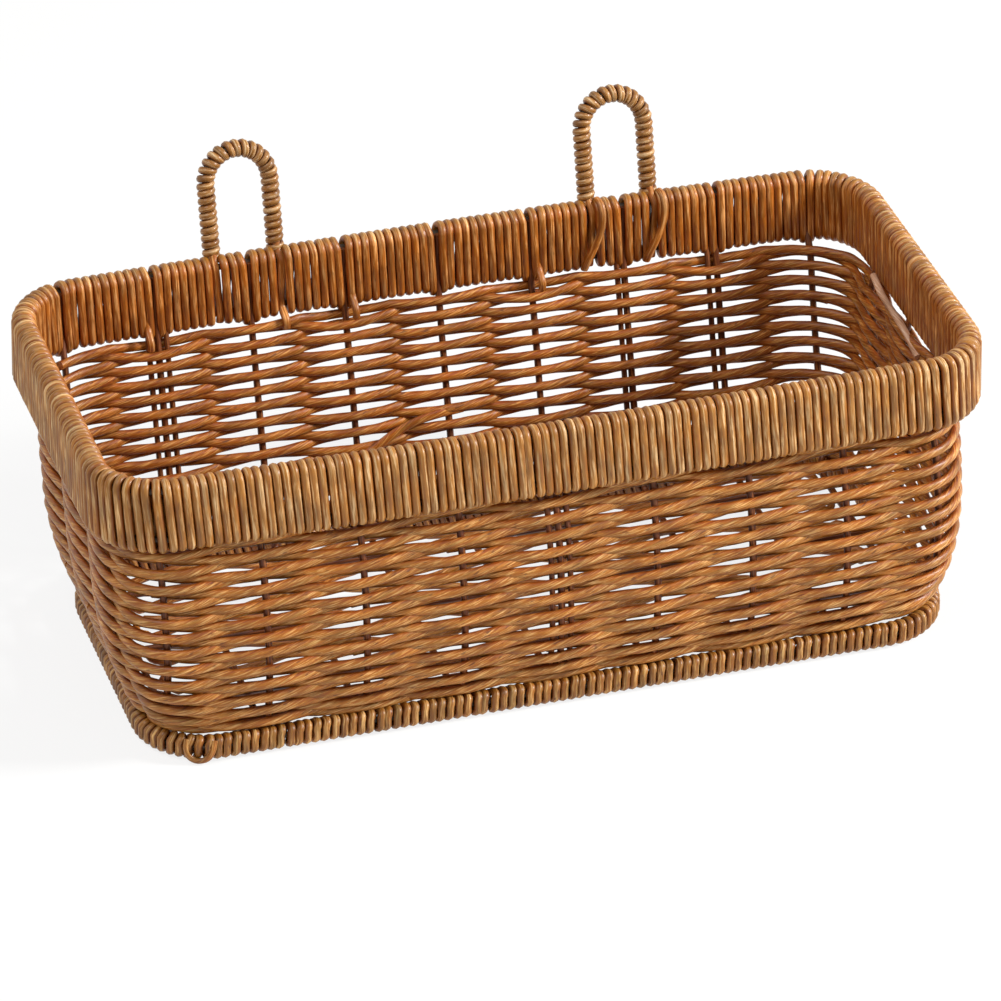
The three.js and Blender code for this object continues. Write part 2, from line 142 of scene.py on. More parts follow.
# The basket's outlines
class Outline:
    # a rounded rectangle seen from above, walked anticlockwise from the middle of its front
    def __init__(self, halfLength, front, back, corner, bow):
        self.halfLength, self.front, self.back = halfLength, front, back
        self.corner, self.bow = corner, bow
        self.straight = halfLength - corner
        self.arc = math.pi / 2 * corner
        self.side = back - front - 2 * corner
        self.total = 4 * self.straight + 4 * self.arc + 2 * self.side

    def at(self, distance):
        # the point at a distance along the outline, and the direction out of it
        s = distance % self.total
        mirrored = s > self.total / 2
        if mirrored:
            s = self.total - s
        straight, arc, side, corner = self.straight, self.arc, self.side, self.corner
        if s < straight:
            x, y, outX, outY = s, self.front, 0, -1
        elif s < straight + arc:
            turn = (s - straight) / corner
            outX, outY = math.sin(turn), -math.cos(turn)
            x, y = straight + corner * outX, self.front + corner + corner * outY
        elif s < straight + arc + side:
            x, y, outX, outY = self.halfLength, self.front + corner + s - straight - arc, 1, 0
        elif s < straight + 2 * arc + side:
            turn = (s - straight - arc - side) / corner
            outX, outY = math.cos(turn), math.sin(turn)
            x, y = straight + corner * outX, self.back - corner + corner * outY
        else:
            x, y, outX, outY = self.total / 2 - s, self.back, 0, 1
        y += math.copysign(self.bow * (1 - (x / self.halfLength) ** 2), y)
        sign = -1 if mirrored else 1
        return Vector((x * sign, y, 0)), Vector((outX * sign, outY, 0))

    def distanceAtX(self, x, onBack):
        # how far along the outline its front or back reaches an x
        past = min(max(abs(x) - self.straight, 0) / self.corner, 1)
        s = math.copysign(min(abs(x), self.straight) + math.asin(past) * self.corner, x)
        return self.total / 2 - s if onBack else s


# sizes are in mm; stakes are counted anticlockwise from the middle of the front
body = {
    "rimHalfLength": 145, "rimHalfWidth": 65, "rimCorner": 20, "rimTop": 102.7, "bandHeight": 25.9,
    "footHalfLength": 133.5, "footFront": -70.2, "footBack": 44, "footCorner": 22, "footHeight": 8.8,
    "longSideStakes": 9, "endStakes": 3, "stakeSpacing": 32.2, "endStakeSpacing": 33.5, "bow": 2.6,
}
wall = {
    "top": 77, "halfLength": 141, "front": -71.5, "back": 62, "corner": 22, "backSlope": 0.237,
    "endsNarrowBelow": 48, "endsNarrowBy": 14, "turnInBelow": 30, "turnInHeight": 21, "frontTurnsIn": 4,
    "backTurnsIn": 4.5, "frontComesIn": 9.5,
}
stakeCount = 2 * (body["longSideStakes"] + body["endStakes"])
cornerStake = body["longSideStakes"] // 2
rimLine = Outline(body["rimHalfLength"], -body["rimHalfWidth"], body["rimHalfWidth"], body["rimCorner"],
                  body["bow"])
footLine = Outline(body["footHalfLength"], body["footFront"], body["footBack"], body["footCorner"], 0)


def wallLine(z):
    # the wall's outline at a height: it turns in near the foot, and its back slopes forward
    low = max(wall["turnInBelow"] - z, 0) / wall["turnInHeight"]
    high = max(z - wall["turnInBelow"], 0) / (wall["top"] - wall["turnInBelow"])
    narrow = max(wall["endsNarrowBelow"] - z, 0) / wall["endsNarrowBelow"]
    halfLength = wall["halfLength"] - wall["endsNarrowBy"] * narrow ** 2
    front = wall["front"] + wall["frontComesIn"] * high ** 2 + wall["frontTurnsIn"] * low ** 2
    back = wall["back"] - wall["backSlope"] * (wall["top"] - z) - wall["backTurnsIn"] * low ** 2
    return Outline(halfLength, front, back, wall["corner"], body["bow"] * z / wall["top"])


def stakePlaces(line):
    # where the stakes stand along an outline, one whole round up to the first one again
    sideSteps = range(-cornerStake, cornerStake + 1)
    front = [line.distanceAtX(i * body["stakeSpacing"], False) for i in sideSteps]
    back = [line.distanceAtX(-i * body["stakeSpacing"], True) for i in sideSteps]
    endSteps = [(i - (body["endStakes"] - 1) / 2) * body["endStakeSpacing"] for i in range(body["endStakes"])]
    right = [line.total / 4 + step for step in endSteps]
    left = [line.total * 3 / 4 + step for step in endSteps]
    return front[cornerStake:] + right + back + left + [s + line.total for s in front[:cornerStake + 1]]


def wallAt(z, stakes):
    # the wall's middle at a height, at any number of stakes round it
    line = wallLine(z)
    places = stakePlaces(line)
    i = math.floor(stakes) % stakeCount
    part = stakes - math.floor(stakes)
    point, out = line.at(places[i] + (places[i + 1] - places[i]) * part)
    point.z = z
    return point, out


# Node trees that turn a path into strands
def newTree(name, sockets):
    # a tree that takes a path and the inputs named here, under their kinds
    tree = bpy.data.node_groups.new(name, "GeometryNodeTree")
    for kind, names in {"Geometry": ["Geometry"], **sockets}.items():
        for socket in names:
            tree.interface.new_socket(socket, in_out="INPUT", socket_type="NodeSocket" + kind)
    tree.interface.new_socket("Geometry", in_out="OUTPUT", socket_type="NodeSocketGeometry")
    add = partial(addNode, tree)
    return tree, add, add("NodeGroupInput")


def finishTree(add, geometry, material):
    # the tree's result, in the material that was given
    painted = add("GeometryNodeSetMaterial", {"Geometry": geometry, "Material": material})[0]
    add("NodeGroupOutput", {0: painted})


def sweep(add, curve, sides, thickness, width, scale, runStart):
    # draws an oval along a curve, and stores where each point lies along and across the strand
    circle = add("GeometryNodeCurvePrimitiveCircle", {"Resolution": sides, "Radius": 0.5})[0]
    size = add("ShaderNodeCombineXYZ", {"X": thickness, "Y": width})[0]
    place = add("GeometryNodeInputPosition")[0]
    oval = add("ShaderNodeVectorMath", {0: place, 1: size}, operation="MULTIPLY")[0]
    profile = add("GeometryNodeSetPosition", {"Geometry": circle, "Position": oval})[0]
    profile = add("GeometryNodeStoreNamedAttribute",
                  {"Geometry": profile, "Name": "across", "Value": place}, data_type="FLOAT_VECTOR")[0]
    length = add("GeometryNodeSplineParameter")["Length"]
    run = add("ShaderNodeMath", {0: length, 1: runStart}, operation="ADD")[0]
    marked = add("GeometryNodeStoreNamedAttribute", {"Geometry": curve, "Name": "run", "Value": run})[0]
    return add("GeometryNodeCurveToMesh",
               {"Curve": marked, "Profile Curve": profile, "Scale": scale, "Fill Caps": True})[0]


def makeStrandTree():
    # a single strand along a path: slightly wavy, oval, with shallow grooves that twist round it
    tree, add, given = newTree("strand", {
        "Float": ["Width", "Thickness", "Lobe Depth", "Twist Length", "Wobble", "Wobble Length", "Run Start"],
        "Int": ["Sides", "Lobes", "Seed"], "Vector": ["Axis"], "Material": ["Material"]})
    path = add("GeometryNodeMeshToCurve", {"Mesh": given["Geometry"]})[0]
    where = add("GeometryNodeInputPosition")[0]
    density = add("ShaderNodeMath", {0: 1.0, 1: given["Wobble Length"]}, operation="DIVIDE")[0]
    noise = add("ShaderNodeTexNoise", {"Vector": where, "Scale": density, "W": given["Seed"], "Detail": 1.0},
                noise_dimensions="4D")["Color"]
    centred = add("ShaderNodeVectorMath", {0: noise, 1: (0.5, 0.5, 0.5)}, operation="SUBTRACT")[0]
    push = add("ShaderNodeVectorMath", {0: centred, "Scale": given["Wobble"]}, operation="SCALE")[0]
    wavy = add("GeometryNodeSetPosition", {"Geometry": path, "Offset": push})[0]

    # the flat of the strand faces across the path, square to the axis
    tangent = add("GeometryNodeInputTangent")[0]
    facing = add("ShaderNodeVectorMath", {0: tangent, 1: given["Axis"]}, operation="CROSS_PRODUCT")[0]
    turned = add("GeometryNodeSetCurveNormal", {"Curve": wavy, "Normal": facing}, mode="FREE")[0]
    thicker = add("GeometryNodeInputNamedAttribute", {"Name": "thicker"})[0]
    scale = add("ShaderNodeMath", {0: thicker, 1: 1.0}, operation="ADD")[0]
    skin = sweep(add, turned, given["Sides"], given["Thickness"], given["Width"], scale, given["Run Start"])

    # how far each point is turned to the inside of the basket: 1 on its inner side, -1 on its outer side
    across = add("GeometryNodeInputNamedAttribute", {"Name": "across"}, data_type="FLOAT_VECTOR")[0]
    spot = add("ShaderNodeSeparateXYZ", {0: across})
    share = add("ShaderNodeMath", {0: spot["X"], 1: given["Thickness"]}, operation="DIVIDE")[0]
    inner = add("ShaderNodeMath", {0: share, 1: -2.0}, operation="MULTIPLY")[0]
    sided = add("GeometryNodeStoreNamedAttribute", {"Geometry": skin, "Name": "inner", "Value": inner})[0]

    # the grooves turn round the strand as they run along it
    run = add("GeometryNodeInputNamedAttribute", {"Name": "run"})[0]
    bearing = add("ShaderNodeMath", {0: spot["Y"], 1: spot["X"]}, operation="ARCTAN2")[0]
    turns = add("ShaderNodeMath", {0: run, 1: given["Twist Length"]}, operation="DIVIDE")[0]
    twist = add("ShaderNodeMath", {0: turns, 1: 2 * math.pi, 2: bearing}, operation="MULTIPLY_ADD")[0]
    lobeTurn = add("ShaderNodeMath", {0: twist, 1: given["Lobes"]}, operation="MULTIPLY")[0]
    wave = add("ShaderNodeMath", {0: lobeTurn}, operation="COSINE")[0]
    depth = add("ShaderNodeMath", {0: wave, 1: given["Lobe Depth"]}, operation="MULTIPLY")[0]
    normal = add("GeometryNodeInputNormal")[0]
    swell = add("ShaderNodeVectorMath", {0: normal, "Scale": depth}, operation="SCALE")[0]
    grooved = add("GeometryNodeSetPosition", {"Geometry": sided, "Offset": swell})[0]
    finishTree(add, grooved, given["Material"])
    return tree


def alongPath(add, path, name, distance):
    # reads a path at a distance along it: its place and direction, and its own number of that name
    number = add("GeometryNodeInputNamedAttribute", {"Name": name})[0]
    return add("GeometryNodeSampleCurve", {"Curves": path, "Value": number, "Length": distance},
               mode="LENGTH")


def wandering(add, turns, rate, detail, size, middle):
    # a number that wanders about its middle from turn to turn
    noise = add("ShaderNodeTexNoise", {"W": turns, "Scale": rate, "Detail": detail},
                noise_dimensions="1D")["Fac"]
    centred = add("ShaderNodeMath", {0: noise, 1: 0.5}, operation="SUBTRACT")[0]
    return add("ShaderNodeMath", {0: centred, 1: size, 2: middle}, operation="MULTIPLY_ADD")[0]


def outAndDown(add, outward, axis, out, down):
    # so far outward, and so far back along the axis
    outStep = add("ShaderNodeVectorMath", {0: outward, "Scale": out}, operation="SCALE")[0]
    downStep = add("ShaderNodeVectorMath", {0: axis, "Scale": down}, operation="SCALE")[0]
    return add("ShaderNodeVectorMath", {0: outStep, 1: downStep}, operation="SUBTRACT")[0]


def makeWrappingTree():
    # a strand wound round and round a path in close turns, with an upright oval section
    tree, add, given = newTree("wrapping", {
        "Float": ["Turn Pitch", "Height", "Depth", "Flare", "Width", "Thickness", "Front Lean", "Back Lean",
                  "Looseness", "Unevenness"],
        "Int": ["Steps", "Sides"], "Vector": ["Axis"], "Material": ["Material"]})
    path = add("GeometryNodeMeshToCurve", {"Mesh": given["Geometry"]})[0]
    length = add("GeometryNodeCurveLength", {"Curve": path})[0]
    rawTurns = add("ShaderNodeMath", {0: length, 1: given["Turn Pitch"]}, operation="DIVIDE")[0]
    turns = add("ShaderNodeMath", {0: rawTurns}, operation="ROUND")[0]
    pitch = add("ShaderNodeMath", {0: length, 1: turns}, operation="DIVIDE")[0]
    count = add("ShaderNodeMath", {0: turns, 1: given["Steps"]}, operation="MULTIPLY")[0]
    line = add("GeometryNodeMeshLine", {"Count": count})[0]
    helix = add("GeometryNodeMeshToCurve", {"Mesh": line})[0]

    # how many turns a point has gone, and how far along the path it is; the leans move it on where it
    # crosses the two faces
    index = add("GeometryNodeInputIndex")[0]
    middled = add("ShaderNodeMath", {0: index, 1: 0.5}, operation="ADD")[0]
    gone = add("ShaderNodeMath", {0: middled, 1: given["Steps"]}, operation="DIVIDE")[0]
    leans = add("ShaderNodeMath", {0: given["Front Lean"], 1: given["Back Lean"]}, operation="ADD")[0]
    even = add("ShaderNodeMath", {0: 1.0, 1: leans}, operation="SUBTRACT")[0]
    frontTurns = add("ShaderNodeMath", {0: gone}, operation="FLOOR")[0]
    halfOn = add("ShaderNodeMath", {0: gone, 1: 0.5}, operation="ADD")[0]
    backTurns = add("ShaderNodeMath", {0: halfOn}, operation="FLOOR")[0]
    evenPart = add("ShaderNodeMath", {0: gone, 1: even}, operation="MULTIPLY")[0]
    frontPart = add("ShaderNodeMath", {0: frontTurns, 1: given["Front Lean"], 2: evenPart},
                    operation="MULTIPLY_ADD")[0]
    allParts = add("ShaderNodeMath", {0: backTurns, 1: given["Back Lean"], 2: frontPart},
                   operation="MULTIPLY_ADD")[0]
    evenPlace = add("ShaderNodeMath", {0: allParts, 1: pitch}, operation="MULTIPLY")[0]

    # small sideways slips from turn to turn, and the shifts and leans that the path itself asks for
    slipped = wandering(add, gone, rate=0.83, detail=0.0, size=given["Looseness"], middle=evenPlace)
    shift = alongPath(add, path, "shift", evenPlace)["Value"]
    shifted = add("ShaderNodeMath", {0: slipped, 1: shift}, operation="ADD")[0]
    angle = add("ShaderNodeMath", {0: gone, 1: 2 * math.pi}, operation="MULTIPLY")[0]
    cosine = add("ShaderNodeMath", {0: angle}, operation="COSINE")[0]
    sine = add("ShaderNodeMath", {0: angle}, operation="SINE")[0]
    lean = alongPath(add, path, "lean", evenPlace)["Value"]
    place = add("ShaderNodeMath", {0: lean, 1: sine, 2: shifted}, operation="MULTIPLY_ADD")[0]
    here = alongPath(add, path, "drop", place)
    crossed = add("ShaderNodeVectorMath", {0: here["Tangent"], 1: given["Axis"]},
                  operation="CROSS_PRODUCT")[0]
    outward = add("ShaderNodeVectorMath", {0: crossed}, operation="NORMALIZE")[0]

    # the section is two half circles with a straight stretch between, and its lower half may drop
    below = add("ShaderNodeMath", {0: sine}, operation="SIGN")[0]
    radius = add("ShaderNodeMath", {0: given["Depth"], 1: 0.5}, operation="MULTIPLY")[0]
    upright = add("ShaderNodeMath", {0: given["Height"], 1: given["Depth"]}, operation="SUBTRACT")[0]
    straight = add("ShaderNodeMath", {0: upright, 1: 0.5}, operation="MULTIPLY")[0]
    curvedDown = add("ShaderNodeMath", {0: radius, 1: sine}, operation="MULTIPLY")[0]
    down = add("ShaderNodeMath", {0: below, 1: straight, 2: curvedDown}, operation="MULTIPLY_ADD")[0]
    lower = add("ShaderNodeMath", {0: below, 1: 0.0}, operation="MAXIMUM")[0]
    sunk = add("ShaderNodeMath", {0: lower, 1: here["Value"], 2: down}, operation="MULTIPLY_ADD")[0]
    acrossOut = add("ShaderNodeMath", {0: radius, 1: cosine}, operation="MULTIPLY")[0]
    flared = add("ShaderNodeMath", {0: below, 1: given["Flare"], 2: acrossOut}, operation="MULTIPLY_ADD")[0]
    away = outAndDown(add, outward, given["Axis"], flared, sunk)
    position = add("ShaderNodeVectorMath", {0: here["Position"], 1: away}, operation="ADD")[0]
    wound = add("GeometryNodeSetPosition", {"Geometry": helix, "Position": position})[0]

    # the flat of the strand faces away from what it is wound on
    facing = outAndDown(add, outward, given["Axis"], cosine, sine)
    turned = add("GeometryNodeSetCurveNormal", {"Curve": wound, "Normal": facing}, mode="FREE")[0]
    scale = wandering(add, gone, rate=1.37, detail=1.0, size=given["Unevenness"], middle=1.0)
    inner = add("ShaderNodeMath", {0: cosine, 1: -1.0}, operation="MULTIPLY")[0]
    sided = add("GeometryNodeStoreNamedAttribute", {"Geometry": turned, "Name": "inner", "Value": inner})[0]
    skin = sweep(add, sided, given["Sides"], given["Thickness"], given["Width"], scale, 0.0)
    finishTree(add, skin, given["Material"])
    return tree


strandTree = makeStrandTree()
wrappingTree = makeWrappingTree()
print("node trees ready")


# Materials
def tinted(add, colour, tint, share):
    # multiplies a colour by a tint, as far as the share says
    multiplied = add("ShaderNodeVectorMath", {0: colour, 1: tint}, operation="MULTIPLY")[0]
    return add("ShaderNodeMix", {0: share, 6: colour, 7: multiplied}, data_type="RGBA")[2]


def makeStrandMaterial(name, look):
    # a strand of willow or cane: fibres run along it and turn with it, and its tone drifts along it
    material = bpy.data.materials.new(name)
    material.use_nodes = True
    material.node_tree.nodes.clear()
    add = partial(addNode, material.node_tree)
    run = add("ShaderNodeAttribute", attribute_name="run")["Fac"]
    across = add("ShaderNodeAttribute", attribute_name="across")["Vector"]
    inner = add("ShaderNodeAttribute", attribute_name="inner")["Fac"]
    spot = add("ShaderNodeSeparateXYZ", {0: across})
    bearing = add("ShaderNodeMath", {0: spot["Y"], 1: spot["X"]}, operation="ARCTAN2")[0]
    turnRate = 2 * math.pi / (look["twistLength"] * mm)
    turned = add("ShaderNodeMath", {0: run, 1: turnRate, 2: bearing}, operation="MULTIPLY_ADD")[0]
    cosine = add("ShaderNodeMath", {0: turned}, operation="COSINE")[0]
    sine = add("ShaderNodeMath", {0: turned}, operation="SINE")[0]
    place = add("ShaderNodeCombineXYZ", {"X": run, "Y": cosine, "Z": sine})[0]

    streakSize = (1 / (look["streakLength"] * mm), look["streaks"], look["streaks"])
    streakPlace = add("ShaderNodeVectorMath", {0: place, 1: streakSize}, operation="MULTIPLY")[0]
    streak = add("ShaderNodeTexNoise", {"Vector": streakPlace, "Scale": 1.0, "Detail": 3.0,
                                        "Roughness": 0.62, "Distortion": 0.35})["Fac"]
    colours = add("ShaderNodeValToRGB", {0: streak})["Color"]
    ramp = colours.node.color_ramp
    while len(ramp.elements) < len(look["stops"]):
        ramp.elements.new(0.5)
    for element, (position, hexCode) in zip(ramp.elements, look["stops"]):
        element.position = position
        element.color = linearColour(hexCode)

    # slow changes along the strand: lighter and darker, and now and then greener
    toneRate = 1 / (look["toneLength"] * mm)
    tone = add("ShaderNodeTexNoise", {"W": run, "Scale": toneRate}, noise_dimensions="1D")["Fac"]
    toneFactor = add("ShaderNodeMapRange", {"Value": tone, "From Min": 0.3, "From Max": 0.7,
                                            "To Min": look["toneLow"], "To Max": look["toneHigh"]})[0]
    patch = add("ShaderNodeTexNoise", {"Vector": streakPlace, "Scale": 0.45, "Detail": 1.0})["Fac"]
    patchShare = add("ShaderNodeMapRange", {"Value": patch, "From Min": 0.52, "From Max": 0.75,
                                            "To Max": look["patchStrength"]})[0]
    patchColour = linearColour(look["patchColour"])
    patched = add("ShaderNodeMix", {0: patchShare, 6: colours, 7: patchColour}, data_type="RGBA")[2]
    toned = add("ShaderNodeVectorMath", {0: patched, "Scale": toneFactor}, operation="SCALE")[0]
    # painted shade: each strand's sides, where strands lie against each other, are darkened for the shade in
    # the grooves
    side = add("ShaderNodeMath", {0: spot["Y"]}, operation="ABSOLUTE")[0]
    grooveShadeShare = add("ShaderNodeMapRange",
                    {"Value": side, "From Min": look["edgeStart"] * mm, "From Max": look["edgeEnd"] * mm})[0]
    grooveShaded = tinted(add, toned, look["grooveShadeTint"], grooveShadeShare)
    # painted shade and bounced light: faces turned to the inside of the basket are made redder and darker
    insideShadeShare = add("ShaderNodeMapRange", {"Value": inner, "From Min": 0.2, "From Max": 0.85})[0]
    shaded = tinted(add, grooveShaded, look["insideShadeTint"], insideShadeShare)

    # dark flecks where bits of the skin have come away
    fleckSize = (1 / (look["fleckLength"] * mm), look["flecks"], look["flecks"])
    fleckPlace = add("ShaderNodeVectorMath", {0: place, 1: fleckSize}, operation="MULTIPLY")[0]
    fleck = add("ShaderNodeTexNoise", {"Vector": fleckPlace, "Scale": 1.0, "Detail": 1.0})["Fac"]
    fleckShare = add("ShaderNodeMapRange",
                     {"Value": fleck, "From Min": look["fleckFrom"], "From Max": look["fleckFrom"] + 0.08,
                      "To Max": look["fleckStrength"]})[0]
    fleckColour = linearColour(look["fleckColour"])
    flecked = add("ShaderNodeMix", {0: fleckShare, 6: shaded, 7: fleckColour}, data_type="RGBA")[2]
    gloss = add("ShaderNodeMapRange", {"Value": streak, "From Min": 0.3, "From Max": 0.7,
                                       "To Min": look["roughLow"], "To Max": look["roughHigh"]})[0]
    bump = add("ShaderNodeBump",
               {"Height": streak, "Strength": look["bump"], "Distance": look["bumpDepth"] * mm})[0]
    shader = add("ShaderNodeBsdfPrincipled",
                 {"Base Color": flecked, "Roughness": gloss, "Normal": bump, "IOR": look["ior"],
                  "Specular IOR Level": look["specular"], "Metallic": look["metallic"],
                  "Coat Weight": look["coat"], "Coat Roughness": look["coatRough"]})[0]
    add("ShaderNodeOutputMaterial", {"Surface": shader})
    return material


# lengths are in mm, streaks and flecks count how often they repeat round half a strand
# the tint for a strand's sides is painted shade in the grooves; the tint for its inside faces is painted
# shade and bounced light
strandLook = {
    "stops": [(0.3, "#853e0a"), (0.5, "#a26213"), (0.7, "#dfb070")], "twistLength": 30, "streakLength": 7,
    "streaks": 3.0, "toneLength": 16, "toneLow": 0.74, "toneHigh": 1.16, "patchColour": "#7a6428",
    "patchStrength": 0.4, "edgeStart": 0.8, "edgeEnd": 1.4, "grooveShadeTint": (0.74, 0.46, 0.18),
    "insideShadeTint": (1.0, 0.84, 0.6), "fleckLength": 3.5, "flecks": 2.0, "fleckFrom": 0.64,
    "fleckStrength": 0.7, "fleckColour": "#4c2005", "roughLow": 0.38, "roughHigh": 0.6, "bump": 0.5,
    "bumpDepth": 0.3, "ior": 1.5, "specular": 0.36, "metallic": 0.0, "coat": 0.12, "coatRough": 0.22,
}
# Stained willow rods: warm golden brown with wispy lighter fibres that twist round the rod.
wovenWillow = makeStrandMaterial("stainedWillowWoven", strandLook)
# Split cane, wound tightly: paler and a little glossier, with straight fibres along each turn.
wrappedCane = makeStrandMaterial("splitCaneWrapped", {
    **strandLook, "stops": [(0.24, "#85470e"), (0.5, "#9f671a"), (0.76, "#f2cf9a")], "twistLength": 400,
    "streakLength": 12, "streaks": 1.6, "toneLength": 14, "patchColour": "#86602a", "patchStrength": 0.35,
    "edgeStart": 0.7, "edgeEnd": 1.35, "grooveShadeTint": (0.68, 0.42, 0.12), "insideShadeTint": (1.14, 0.87, 0.6),
    "fleckStrength": 0.45, "bump": 0.3, "specular": 0.4, "coat": 0.15})
# The same cane on the foot, in darker colours, with stronger painted shade between its turns.
footCane = makeStrandMaterial("splitCaneFoot", {
    **strandLook, "stops": [(0.3, "#754008"), (0.5, "#925a14"), (0.7, "#d6aa6a")], "twistLength": 300,
    "streakLength": 9, "streaks": 1.6, "toneLength": 12, "edgeStart": 0.7, "edgeEnd": 1.35,
    "grooveShadeTint": (0.5, 0.3, 0.1), "coat": 0.2})
# Thin split cane on the loops, pale and smooth.
loopCane = makeStrandMaterial("splitCaneLoops", {
    **strandLook, "stops": [(0.3, "#845014"), (0.5, "#9a6626"), (0.7, "#e2bf90")], "twistLength": 400,
    "streaks": 1.3, "toneLength": 9, "patchStrength": 0.2, "edgeStart": 0.6, "edgeEnd": 1.2,
    "grooveShadeTint": (0.55, 0.36, 0.16), "insideShadeTint": (1, 1, 1), "fleckStrength": 0.3, "bump": 0.3, "coat": 0.25})
# Peeled willow: pale, pinkish and matte, where the skin has come off.
peeledWillow = makeStrandMaterial("peeledWillow", {
    **strandLook, "stops": [(0.3, "#b07a55"), (0.5, "#d6a683"), (0.7, "#efd2bb")], "streakLength": 9,
    "patchStrength": 0.0, "grooveShadeTint": (0.75, 0.6, 0.45), "insideShadeTint": (1, 1, 1), "fleckStrength": 0.35,
    "coat": 0.0})
# Dark stained rods that stand upright: almost smooth, with a faint sheen.
stakeWood = makeStrandMaterial("darkStainedStake", {
    **strandLook, "stops": [(0.3, "#3d1a06"), (0.5, "#66300c"), (0.72, "#a2632a")], "twistLength": 200,
    "streakLength": 14, "toneLow": 0.7, "toneHigh": 1.2, "patchStrength": 0.0, "edgeStart": 0.6,
    "edgeEnd": 1.0, "grooveShadeTint": (0.7, 0.62, 0.5), "insideShadeTint": (1, 1, 1), "bump": 0.2})
# Plain drawn steel wire, dull, and browned by the stain.
wireSteel = makeStrandMaterial("drawnSteelWire", {
    **strandLook, "stops": [(0.3, "#33271e"), (0.5, "#4a3d32"), (0.7, "#63574b")], "twistLength": 900,
    "streakLength": 30, "streaks": 4.0, "patchStrength": 0.0, "grooveShadeTint": (1, 1, 1),
    "insideShadeTint": (1, 1, 1), "fleckStrength": 0.2, "bump": 0.1, "specular": 0.5, "metallic": 0.7})
print("materials ready")

# The wall: two strands chase each other round, each outside one stake and inside the next.
# Starts, ends and climbs are in stakes, and drops, drifts and swings in mm.
weave = {
    "rounds": 12, "rowPitch": 2.672, "base": 12.05, "backRise": 1.2, "top": 76.1, "start": -8,
    "ends": (304, 281), "climbStart": 16, "climbEnd": 20, "frontDrop": 1.5, "lowRows": 11, "lowBlend": 4,
    "kneeLift": 1.3, "dips": (1.8, 1.1), "dipFromRow": 22.5, "backStakes": (7, 17),
    "strandWidth": 2.9, "strandThickness": 2.4, "frontThicker": 0.15, "backThicker": 0.1,
    "frontSwing": 1.65, "backSwing": 2.35, "frontFlatness": 1.1, "backFlatness": 0.72, "slant": 0.4,
    "rowDrift": 0.2, "swingDrift": 0.12, "draws": 400, "drawsBefore": 20, "tuck": 0.14, "tuckStep": 0.2,
    "joinRange": (-7, 4), "samples": 24, "seed": 11,
}
rowCount = 2 * weave["rounds"]
weaveInputs = {
    "Width": weave["strandWidth"] * mm, "Thickness": weave["strandThickness"] * mm, "Sides": 12,
    "Axis": (0, 0, 1), "Lobes": 3, "Lobe Depth": 0.06 * mm, "Twist Length": 30 * mm, "Wobble": 0.3 * mm,
    "Wobble Length": 9 * mm, "Material": wovenWillow}


def mixed(front, back, share):
    # part of the way from the front's value to the back's
    return front + (back - front) * share


def eased(share):
    # from 0 to 1 with a gentle start and end
    return share * share * (3 - 2 * share)


def betweenDraws(draws, stake, share):
    # from the number drawn for a stake to the number drawn for the next one
    first = stake + weave["drawsBefore"]
    return draws[first] * (1 - share) + draws[first + 1] * share


def backShare(stakes):
    # 0 at the middle of the front, 1 at the middle of the back
    return (1 - math.cos(2 * math.pi * stakes / stakeCount)) / 2


def rowAt(stakes, order):
    # the row that a strand has reached; on each pass of the left end it climbs by two
    started = stakes - weave["climbEnd"] + stakeCount
    past = started % stakeCount + weave["climbEnd"] - stakeCount - weave["climbStart"]
    climbed = max(past, 0) / (weave["climbEnd"] - weave["climbStart"])
    return max(2 * (started // stakeCount + climbed), 0) + order


def rowHeight(row, stakes):
    # the low rows of the front lie a little lower, the middle rows of the back a little higher
    toBack = backShare(stakes)
    low = eased(min(max((weave["lowRows"] - row) / weave["lowBlend"], 0), 1))
    rise = weave["backRise"] * toBack * math.sin(math.pi * row / rowCount)
    z = weave["base"] + weave["rowPitch"] * row + rise
    return min(z - weave["frontDrop"] * low * (1 - toBack), weave["top"])


def chasingPath(order, first, last, depths, drifts):
    # a strand's way between two places round the wall, and how much thicker than usual it is at each point
    backFirst, backLast = weave["backStakes"]
    count = round((last - first) * weave["samples"])
    points, thicker = [], []
    for i in range(count + 1):
        stakes = first + (last - first) * i / count
        level = rowAt(stakes, order)
        toBack = backShare(stakes)
        stake = math.floor(stakes)
        share = eased(stakes - stake)
        wave = -math.cos(math.pi * (stakes + order))
        flatness = mixed(weave["frontFlatness"], weave["backFlatness"], toBack)
        outside = math.copysign(abs(wave) ** flatness, wave)
        swing = mixed(weave["frontSwing"], weave["backSwing"], toBack) + betweenDraws(depths, stake, share)
        z = rowHeight(level, stakes) + betweenDraws(drifts, stake, share)
        z += weave["kneeLift"] * max(1 - level, 0) * max(-outside, 0)
        z -= weave["slant"] * (1 - toBack) * math.sin(math.pi * (stakes + order))
        # the top rows of the back sag between the stakes
        if level > weave["dipFromRow"] and backFirst < stakes % stakeCount < backLast:
            z -= weave["dips"][order] * (max(outside, 0) if order == 0 else max(-outside, 0) ** 2)
        # where two lengths overlap, one passes a little above the other
        overlap = max(2 * weave["tuck"] - min(stakes - first, last - stakes), 0) / weave["tuck"]
        z += math.copysign(weave["tuckStep"] * overlap, 2 * stakes - first - last)
        point, out = wallAt(z, stakes % stakeCount)
        points.append(point + out * swing * outside)
        thicker.append(mixed(weave["frontThicker"], weave["backThicker"], toBack))
    return points, thicker


